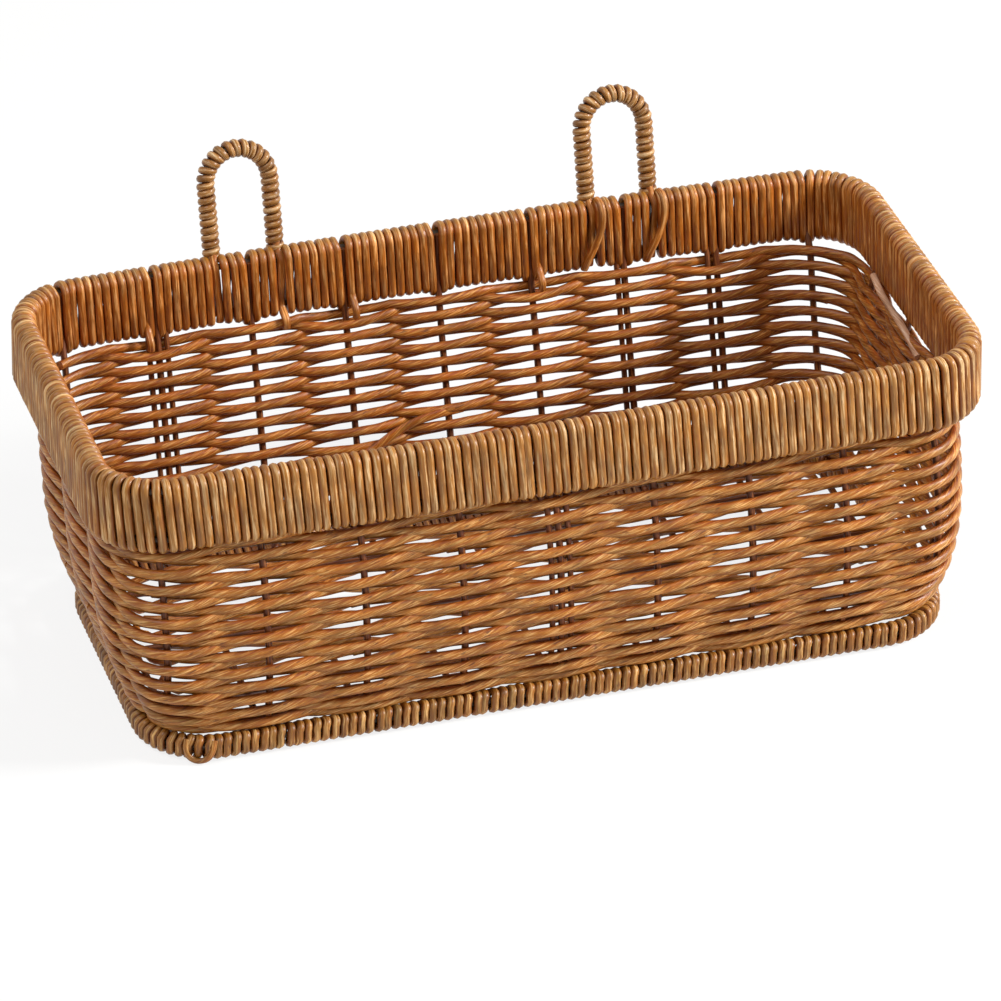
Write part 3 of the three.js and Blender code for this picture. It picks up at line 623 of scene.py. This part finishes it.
chance = random.Random(weave["seed"])
for order, letter in enumerate("AB"):
    depths = [chance.uniform(-1, 1) * weave["swingDrift"] for i in range(weave["draws"])]
    drifts = [chance.uniform(-1, 1) * weave["rowDrift"] for i in range(weave["draws"])]
    # a length ends inside a stake where the next one begins, but outside it on the back wall, so that
    # from in front of the basket the stake covers the join
    joins = [weave["start"] + order]
    for row in range(1, weave["rounds"]):
        join = stakeCount * row + 2 * chance.randrange(*weave["joinRange"]) + order
        onBack = weave["backStakes"][0] <= join % stakeCount <= weave["backStakes"][1]
        joins.append(join + 1 if onBack else join)
    joins.append(weave["ends"][order])
    for row in range(weave["rounds"]):
        points, thicker = chasingPath(order, joins[row] - weave["tuck"], joins[row + 1] + weave["tuck"],
                                      depths, drifts)
        inputs = {**weaveInputs, "Run Start": chance.uniform(0, 9), "Seed": chance.randrange(1000)}
        piece = grow(f"weaveRow{row + 1:02d}{letter}", strandTree, inputs, points, thicker=thicker)
        keep(piece, "weave", f"row_{row + 1:02d}_strand_{letter.lower()}")

# one more strand closes the wall against the foot: outside the stakes that the lowest row passes inside
base = {"height": 9.7, "lift": 0.5, "climb": 0.35, "first": -8, "last": 16.2}
count = round((base["last"] - base["first"]) * weave["samples"])
points = []
for i in range(count + 1):
    u = base["first"] + (base["last"] - base["first"]) * i / count
    outside = math.cos(math.pi * u)
    z = base["height"] + base["lift"] * max(-outside, 0) + base["climb"] * (i / count - 0.5)
    place, out = wallAt(z, u % stakeCount)
    points.append(place + out * weave["frontSwing"] * outside)
keep(grow("weaveBase", strandTree, {**weaveInputs, "Run Start": 33, "Seed": 33}, points), "weave")
print("wall woven")

# The stakes and the extra bars beside some of them
rods = {"width": 2.3, "barWidth": 1.9, "bends": (12.8, 18.2, 23.5, 34.2, 45, 56, 66, 73), "bandEntry": 84,
        "topHeight": 99, "floorHeight": 4.6, "longFloorHeight": 7.4, "kneeHeight": 10.2, "footInset": 4.5,
        "floorInset": 0.5, "rimInset": 1.4, "barSpacing": 3.1, "step": 2}


def stakeRise(stake, beside=0):
    # a stake's way up one wall, from the inside of the foot to the inside of the rim band
    points = []
    for z in rods["bends"]:
        point, out = wallAt(z, stake)
        points.append(point + Vector((-out.y, out.x, 0)) * beside)
    rimPoint, rimOut = rimLine.at(stakePlaces(rimLine)[stake])
    rimPoint += Vector((-rimOut.y, rimOut.x, 0)) * beside - rimOut * rods["rimInset"]
    entry = rimPoint.copy()
    entry.z = rods["bandEntry"]
    end = rimPoint.copy()
    end.z = rods["topHeight"]
    knee, out = wallAt(rods["bends"][0], stake)
    knee.z = rods["kneeHeight"]
    inside = knee - out * rods["footInset"]
    return inside, out, [knee, *points, entry, end]


def crossStake(first, second, floorHeight):
    # down one wall, under the floor and up the wall across from it
    insideFirst, outFirst, riseFirst = stakeRise(first)
    insideSecond, outSecond, riseSecond = stakeRise(second)
    bendFirst = insideFirst - outFirst * rods["floorInset"]
    bendSecond = insideSecond - outSecond * rods["floorInset"]
    bendFirst.z = bendSecond.z = floorHeight
    middle = (bendFirst + bendSecond) / 2
    return [*reversed(riseFirst), insideFirst, bendFirst, middle, bendSecond, insideSecond, *riseSecond]


stakeInputs = {**roundSize(rods["width"]), "Sides": 10, "Axis": (1, 0, 0), "Lobes": 2,
               "Lobe Depth": 0.04 * mm, "Twist Length": 90 * mm, "Wobble": 0.3 * mm,
               "Wobble Length": 30 * mm, "Material": stakeWood}
for i in range(body["longSideStakes"]):
    path = crossStake((i - cornerStake) % stakeCount, stakeCount // 2 + cornerStake - i, rods["floorHeight"])
    inputs = {**stakeInputs, "Run Start": i * 0.7, "Seed": i}
    piece = grow(f"stakeCross{i + 1}", strandTree, inputs, smoothLine(path, rods["step"]))
    keep(piece, "stakes", f"stake_cross_{i + 1}")
for i in range(body["endStakes"]):
    path = crossStake(cornerStake + 1 + i, stakeCount - cornerStake - 1 - i, rods["longFloorHeight"])
    inputs = {**stakeInputs, "Axis": (0, 1, 0), "Run Start": 9 + i * 0.7, "Seed": 20 + i}
    piece = grow(f"stakeLong{i + 1}", strandTree, inputs, smoothLine(path, rods["step"]))
    keep(piece, "stakes", f"stake_long_{i + 1}")
# each bar's stake, and the side of it that the bar stands on, in spacings
extraBars = {"FrontA": (0, -1), "FrontB": (0, 1), "BackA": (15, -1), "BackB": (15, 1), "BackC": (10, 0.8),
             "BackD": (9, 1)}
for i, (name, (stake, beside)) in enumerate(extraBars.items()):
    inside, out, rise = stakeRise(stake, beside * rods["barSpacing"])
    inputs = {**stakeInputs, **roundSize(rods["barWidth"]), "Run Start": 20 + i * 0.3, "Seed": 40 + i}
    piece = grow(f"extraBar{name}", strandTree, inputs, smoothLine(rise[1:], rods["step"]))
    keep(piece, "stakes", f"extra_bar_{name[:-1].lower()}_{name[-1].lower()}")
print("stakes set")

# The floor: one strand that runs to and fro, over and under the crossing stakes
floor = {"runs": 12, "pitch": 8.4, "halfLength": 117, "height": 4.6, "swing": 2.3, "strandWidth": 2.6,
         "middle": (body["footFront"] + body["footBack"]) / 2, "turnSteps": 8, "step": 2.6}
points = []
for run in range(floor["runs"]):
    y = floor["middle"] + (run - (floor["runs"] - 1) / 2) * floor["pitch"]
    onward = -1 if run % 2 else 1
    count = round(2 * floor["halfLength"] / floor["step"])
    for i in range(count + 1):
        x = onward * floor["halfLength"] * (2 * i / count - 1)
        rise = floor["swing"] * math.cos(math.pi * x / body["stakeSpacing"]) * onward
        points.append(Vector((x, y, floor["height"] + rise)))
    if run < floor["runs"] - 1:
        for i in range(1, floor["turnSteps"]):
            turn = math.pi * i / floor["turnSteps"]
            x = onward * (floor["halfLength"] + math.sin(turn) * floor["pitch"] / 2)
            points.append(Vector((x, y + floor["pitch"] / 2 * (1 - math.cos(turn)), floor["height"])))
floorInputs = {**weaveInputs, **roundSize(floor["strandWidth"]), "Sides": 8, "Lobe Depth": 0.1 * mm,
               "Run Start": 40, "Seed": 60}
keep(grow("floorStrand", strandTree, floorInputs, points), "floor", "floor_weave")
print("floor woven")

# The rim: two wires, and a strand wound round them in lengths between the legs of the loops
rim = {"turnPitch": 2.9, "strandWidth": 2.85, "strandThickness": 2.4, "depth": 5.76, "flare": 0.2,
       "looseness": 0.7, "unevenness": 0.1, "slit": 2.9, "wireOffset": 8.7, "wireWidth": 2.2, "wireStep": 3,
       "pathStep": 1.5, "spread": 0.7, "spreadRise": 1.2, "spreadReach": 4.5, "lean": 1.0, "drop": 1.8,
       "dropReach": 3, "backStakes": (8, 16), "elsewhere": 0.1}
loops = {"centres": (-65.2, 63.6), "halfGap": 10.8, "rise": 32.98, "lean": 0.237, "setback": 2.6,
         "legDepth": 24, "coreWidth": 2.4, "coreStep": 1.5, "turnPitch": 2.5, "strandWidth": 2.5,
         "strandThickness": 1.9, "windingDepth": 2.6, "windingStep": 0.8, "looseness": 0.5}
rimMiddle = body["rimTop"] - body["bandHeight"] / 2
wireInputs = {**roundSize(rim["wireWidth"]), "Sides": 10, "Axis": (0, 0, 1), "Lobes": 2, "Lobe Depth": 0.0,
              "Twist Length": 1.0, "Wobble": 0.0, "Wobble Length": 0.1, "Material": wireSteel}
for name, node, line, z in (
        ("rimWireTop", "rim_wire_top", rimLine, rimMiddle + rim["wireOffset"]),
        ("rimWireLower", "rim_wire_lower", rimLine, rimMiddle - rim["wireOffset"]),
        ("footWire", "foot_wire", footLine, body["footHeight"] / 2)):
    count = round(line.total / rim["wireStep"])
    points = [line.at(line.total * i / count)[0] + Vector((0, 0, z)) for i in range(count)]
    keep(grow(name, strandTree, wireInputs, points, closed=True), "wire", node)

legStops = [rimLine.distanceAtX(x + side * loops["halfGap"], True)
            for x in reversed(loops["centres"]) for side in (1, -1)]
lengths = [
    ("rimWrappingRound", legStops[3], legStops[0] + rimLine.total,
     ["rim_wrap_back_left", "rim_wrap_left", "rim_wrap_front", "rim_wrap_right", "rim_wrap_back_right"]),
    ("rimWrappingRightLoop", legStops[0], legStops[1], ["rim_wrap_between_right_legs"]),
    ("rimWrappingBackMiddle", legStops[1], legStops[2], ["rim_wrap_back_middle"]),
    ("rimWrappingLeftLoop", legStops[2], legStops[3], ["rim_wrap_between_left_legs"]),
]
rimStakes = stakePlaces(rimLine)[:stakeCount]
wrapInputs = {
    "Turn Pitch": rim["turnPitch"] * mm, "Steps": 18, "Sides": 8,
    "Height": (body["bandHeight"] - rim["strandThickness"]) * mm, "Depth": rim["depth"] * mm,
    "Flare": rim["flare"] * mm, "Width": rim["strandWidth"] * mm,
    "Thickness": rim["strandThickness"] * mm, "Axis": (0, 0, 1), "Front Lean": 0.45,
    "Back Lean": 0.3, "Looseness": rim["looseness"] * mm, "Unevenness": rim["unevenness"],
    "Material": wrappedCane}


def wrapMoves(s):
    # beside a stake of the back the turns spread apart, lean in below and reach further down
    shift = lean = drop = 0
    for k, stake in enumerate(rimStakes):
        away = (s - stake + rimLine.total / 2) % rimLine.total - rimLine.total / 2
        strength = 1 if rim["backStakes"][0] <= k <= rim["backStakes"][1] else rim["elsewhere"]
        near = math.tanh(away / rim["spreadRise"]) * math.exp(-abs(away) / rim["spreadReach"]) * strength
        shift += rim["spread"] * near
        lean -= rim["lean"] * near
        drop += rim["drop"] * math.exp(-(away / rim["dropReach"]) ** 2) * strength
    return shift * mm, lean * mm, drop * mm


for name, start, end, nodes in lengths:
    start += rim["slit"] / 2
    end -= rim["slit"] / 2
    count = round((end - start) / rim["pathStep"])
    stops = [start + (end - start) * i / count for i in range(count + 1)]
    points = [rimLine.at(s)[0] + Vector((0, 0, rimMiddle)) for s in stops]
    shifts, leans, drops = zip(*[wrapMoves(s) for s in stops])
    piece = grow(name, wrappingTree, wrapInputs, points, shift=shifts, lean=leans, drop=drops)
    keep(piece, "rim_wrapping", *nodes)
print("rim wrapped")

# The foot: a smaller ring, wrapped the same way with its turns leaning over
foot = {"turnPitch": 2.95, "strandWidth": 2.8, "strandThickness": 2.4, "depth": 3.6, "lean": -1.3,
        "clearance": 0.2, "looseness": 1.1, "pathStep": 1.5}
footSeam = footLine.distanceAtX(-body["stakeSpacing"] / 2, True)
count = round(footLine.total / foot["pathStep"])
points = [footLine.at(footSeam + footLine.total * i / count)[0] + Vector((0, 0, body["footHeight"] / 2))
          for i in range(count + 1)]
footInputs = {
    **wrapInputs, "Turn Pitch": foot["turnPitch"] * mm,
    "Height": (body["footHeight"] - foot["strandThickness"] - foot["clearance"]) * mm,
    "Depth": foot["depth"] * mm, "Flare": 0.0, "Width": foot["strandWidth"] * mm,
    "Thickness": foot["strandThickness"] * mm, "Front Lean": 0.1, "Back Lean": 0.1,
    "Looseness": foot["looseness"] * mm, "Material": footCane}
piece = grow("footWrapping", wrappingTree, footInputs, points, lean=[foot["lean"] * mm] * len(points))
keep(piece, "foot_wrapping", "foot_wrap")
print("foot wrapped")


# The two hanging loops: a bent wire each, with a thin strand wound round it
def backOfRim(x):
    # the y of the middle of the band's back at an x
    return rimLine.at(rimLine.distanceAtX(x, True))[0].y


def loopPath(centre, fromRise, step):
    # up one leg, round the arch and down the other; rises are above the rim's crest
    arch = loops["rise"] - loops["halfGap"]
    back = backOfRim(centre) + loops["setback"]
    leg = arch - fromRise
    total = 2 * leg + math.pi * loops["halfGap"]
    count = round(total / step)
    points = []
    for i in range(count + 1):
        s = total * i / count
        over = s - leg
        if over <= 0:
            x, rise = -loops["halfGap"], fromRise + s
        elif over < math.pi * loops["halfGap"]:
            turn = over / loops["halfGap"]
            x, rise = -loops["halfGap"] * math.cos(turn), arch + loops["halfGap"] * math.sin(turn)
        else:
            x, rise = loops["halfGap"], fromRise + total - s
        points.append(Vector((centre + x, back + loops["lean"] * max(rise, 0), body["rimTop"] + rise)))
    return points


loopNormal = Vector((0, 1, -loops["lean"])).normalized()
loopCoreInputs = {**wireInputs, **roundSize(loops["coreWidth"]), "Axis": loopNormal}
loopWrapInputs = {
    **wrapInputs, "Turn Pitch": loops["turnPitch"] * mm, "Steps": 12,
    "Height": (loops["coreWidth"] + loops["strandThickness"]) * mm,
    "Depth": (loops["coreWidth"] + loops["strandThickness"]) * mm, "Flare": 0.0,
    "Width": loops["strandWidth"] * mm, "Thickness": loops["strandThickness"] * mm,
    "Axis": loopNormal, "Front Lean": 0.0, "Back Lean": 0.0, "Looseness": loops["looseness"] * mm,
    "Material": loopCane}
for side, centre in zip(("Left", "Right"), loops["centres"]):
    points = loopPath(centre, -loops["legDepth"], loops["coreStep"])
    keep(grow(f"loopCore{side}", strandTree, loopCoreInputs, points), "wire", f"hook_{side.lower()}_core")
    points = loopPath(centre, -loops["windingDepth"], loops["windingStep"])
    piece = grow(f"loopWinding{side}", wrappingTree, loopWrapInputs, points)
    keep(piece, "loop_winding", f"hook_{side.lower()}_winding")
print("loops wound")

# Ends and ties: strands that fill the slits at the legs, cross them, or hang loose
ties = {"tailWidth": 2.7, "cordWidth": 2.6, "thickness": 1.9, "tailInset": 1.9, "cordInset": 4.6,
        "topRow": 76, "besideStakes": (15.1, 12.92, 10.92), "looseWidth": 2.4, "bowedWidth": 3.3,
        "footTurnWidth": 1.9, "footTurnX": -122.5, "step": 0.8}


def addTie(name, slotName, places, width, material, seed, axis=(-1, 0, 0)):
    # a short strand along a few given points
    inputs = {"Width": width * mm, "Thickness": ties["thickness"] * mm, "Sides": 12, "Axis": axis, "Lobes": 2,
              "Lobe Depth": 0.05 * mm, "Twist Length": 40 * mm, "Wobble": 0.25 * mm, "Wobble Length": 8 * mm,
              "Run Start": seed * 0.9, "Seed": seed, "Material": material}
    points = smoothLine([Vector(p) for p in places], ties["step"])
    keep(grow(name, strandTree, inputs, points), slotName)


# each leg's tail goes down inside the band; its x at the top and at the bottom, from the leg
tails = {"LeftA": (0, 1.3), "LeftB": (0.8, 0.7), "RightA": (0.9, 0.2), "RightB": (1, 0.2)}
legs = [centre + side * loops["halfGap"] for centre in loops["centres"] for side in (-1, 1)]
for i, ((name, (top, bottom)), x) in enumerate(zip(tails.items(), legs)):
    back = backOfRim(x)
    inside = back - ties["tailInset"]
    # one tail goes on down to the top row, and the others end inside the band
    ends = [(x + bottom, inside + 0.6, 78.6)]
    if name == "LeftB":
        row = wallAt(ties["topRow"], stakeCount / 2 - x / body["stakeSpacing"])[0]
        ends = [(x + bottom + 0.3, row.y - 3.3, 78.2), (x + bottom + 0.5, row.y - 2.8, 75)]
    addTie("legTail" + name, "loop_winding", [
        (x, back + loops["setback"] - 1.2, 104.2), (x + top * 0.3, back + 0.2, 101.4),
        (x + top, inside, 98.6), (x + (top + bottom) / 2, inside - 0.2, 90), (x + bottom, inside, 81.5),
        *ends], ties["tailWidth"], wrappedCane, 70 + i)

# at the right loop the first turn past each leg slants across the slit
for i, (name, x) in enumerate(zip("AB", legs[2:])):
    back = backOfRim(x)
    face = back - ties["cordInset"]
    addTie("legCord" + name, "rim_wrapping", [
        (x + 3.0, back + 0.5, 102.2), (x + 3.4, back - 2.6, 101.9), (x + 3.6, face, 98.5),
        (x + 3.0, face - 0.5, 93.5), (x + 0.9, face - 0.6, 87.5), (x - 1.4, face - 0.1, 82),
        (x - 2.3, face + 1.2, 78.4)], ties["cordWidth"], wrappedCane, 80 + i)

# ties run down beside a stake inside the band and hold the top row
for i, u in enumerate(ties["besideStakes"]):
    x = (stakeCount / 2 - u) * body["stakeSpacing"]
    back = backOfRim(x)
    row = wallAt(ties["topRow"], u)[0]
    addTie(f"bandTie{i + 1}", "rim_wrapping", [
        (x - 0.9, back - 1.4, 98), (x - 0.6, back - 2, 89), (x, back - 3.2, 81.4),
        (x + 0.2, row.y - 3.4, 77.6), (x + 0.4, row.y - 2.6, 74.6)], ties["cordWidth"], wrappedCane, 90 + i)

# a peeled length has sprung out inside the basket's right end
addTie("looseEndRight", "weave", [
    (139.6, 27.5, 81), (138.9, 17, 79.4), (138.9, 6, 78.8), (139.1, -5, 77.6), (139.4, -17, 74.4)],
    ties["looseWidth"], peeledWillow, 101)

# a length bows in from the back wall: stakes round, height, and how far in
bowed = ((12.98, 29.3, 3.4), (12.82, 31.8, 3.7), (12.62, 35.2, 3.8), (12.4, 37.8, 3.6), (12.14, 39, 3),
         (11.85, 39, 1.4))
points = []
for u, z, inward in bowed:
    place, out = wallAt(z, u)
    points.append(place - out * inward)
addTie("looseLengthBack", "weave", points, ties["bowedWidth"], wovenWillow, 102, (0, 0, -1))

# a turn hangs off the foot's front corner: along the foot, height, and how far out
hanging = ((0, 7.9, 1.6), (0, 5.4, 3), (1, 2.6, 3.4), (3.4, 1.2, 3.4), (6, 1.9, 3.3), (7.6, 4.6, 3),
           (8.4, 7.6, 1.6))
turnStart = footLine.distanceAtX(ties["footTurnX"], False)
points = []
for along, height, beyond in hanging:
    place, out = footLine.at(turnStart + along)
    points.append(place + out * beyond + Vector((0, 0, height)))
addTie("looseTurnFoot", "foot_wrapping", points, ties["footTurnWidth"], footCane, 103, (1, 0, 0))
print("ties and loose strands set")

# Floor, light and camera, in metres
stage = {"floorHalf": 6, "floorColour": "#f4f3f1", "floorGlow": 0.82, "worldStrength": 0.38,
         "aim": (0, 0, 0.05), "keyPlace": (1.4, -0.5, 0.95), "keyPower": 40, "keySize": 0.35,
         "fillPlace": (-0.8, -0.3, 1.5), "fillPower": 11, "fillSize": 0.8, "sensor": 36, "lens": 252.16,
         "cameraPlace": (-0.57096, -1.87461, 1.22845), "cameraTurn": (58.645, 0.05, -17.018), "farEnd": 30}


def seenDirectly(add):
    # 1 where the camera or a reflection looks at it, and 0 where it only gives light
    rays = add("ShaderNodeLightPath")
    return add("ShaderNodeMath", {0: rays["Is Camera Ray"], 1: rays["Is Glossy Ray"]},
               operation="MAXIMUM")[0]


half = stage["floorHalf"]
mesh = bpy.data.meshes.new("studioFloor")
mesh.from_pydata([(-half, -half, 0), (half, -half, 0), (half, half, 0), (-half, half, 0)], [],
                 [(0, 1, 2, 3)])
studioFloor = bpy.data.objects.new("studioFloor", mesh)
bpy.context.collection.objects.link(studioFloor)
# Matt white paint that keeps the shadow and looks nearly as white as the background.
floorMaterial = bpy.data.materials.new("paintedStudioFloor")
floorMaterial.use_nodes = True
floorMaterial.node_tree.nodes.clear()
add = partial(addNode, floorMaterial.node_tree)
paint = add("ShaderNodeBsdfDiffuse", {"Color": linearColour(stage["floorColour"])})[0]
glow = add("ShaderNodeMath", {0: seenDirectly(add), 1: stage["floorGlow"]}, operation="MULTIPLY")[0]
white = add("ShaderNodeEmission", {"Strength": 1.0})[0]
blended = add("ShaderNodeMixShader", {0: glow, 1: paint, 2: white})[0]
add("ShaderNodeOutputMaterial", {"Surface": blended})
mesh.materials.append(floorMaterial)

world = bpy.data.worlds.new("studio")
bpy.context.scene.world = world
world.use_nodes = True
world.node_tree.nodes.clear()
add = partial(addNode, world.node_tree)
soft = add("ShaderNodeBackground", {"Color": (1, 1, 1, 1), "Strength": stage["worldStrength"]})[0]
white = add("ShaderNodeBackground", {"Color": (1, 1, 1, 1), "Strength": 1.0})[0]
blended = add("ShaderNodeMixShader", {0: seenDirectly(add), 1: soft, 2: white})[0]
add("ShaderNodeOutputWorld", {"Surface": blended})


def addLamp(name, place, power, width):
    # a square soft light turned to the basket
    lamp = bpy.data.lights.new(name, "AREA")
    lamp.energy = power
    lamp.size = width
    holder = bpy.data.objects.new(name, lamp)
    holder.location = place
    holder.rotation_euler = (Vector(stage["aim"]) - Vector(place)).to_track_quat("-Z", "Y").to_euler()
    bpy.context.collection.objects.link(holder)


addLamp("keyLamp", stage["keyPlace"], stage["keyPower"], stage["keySize"])
addLamp("fillLamp", stage["fillPlace"], stage["fillPower"], stage["fillSize"])

cameraX, cameraY, cameraZ = stage["cameraPlace"]
cameraData = bpy.data.cameras.new("photoCamera")
cameraData.lens = stage["lens"]
cameraData.sensor_width = stage["sensor"]
cameraData.clip_end = stage["farEnd"]
camera = bpy.data.objects.new("photoCamera", cameraData)
camera.location = (cameraX, cameraY + rimMiddleY, cameraZ)
camera.rotation_euler = [math.radians(angle) for angle in stage["cameraTurn"]]
bpy.context.collection.objects.link(camera)
bpy.context.scene.camera = camera
bpy.context.scene.view_settings.view_transform = "Standard"
print("stage, lamps and camera ready")
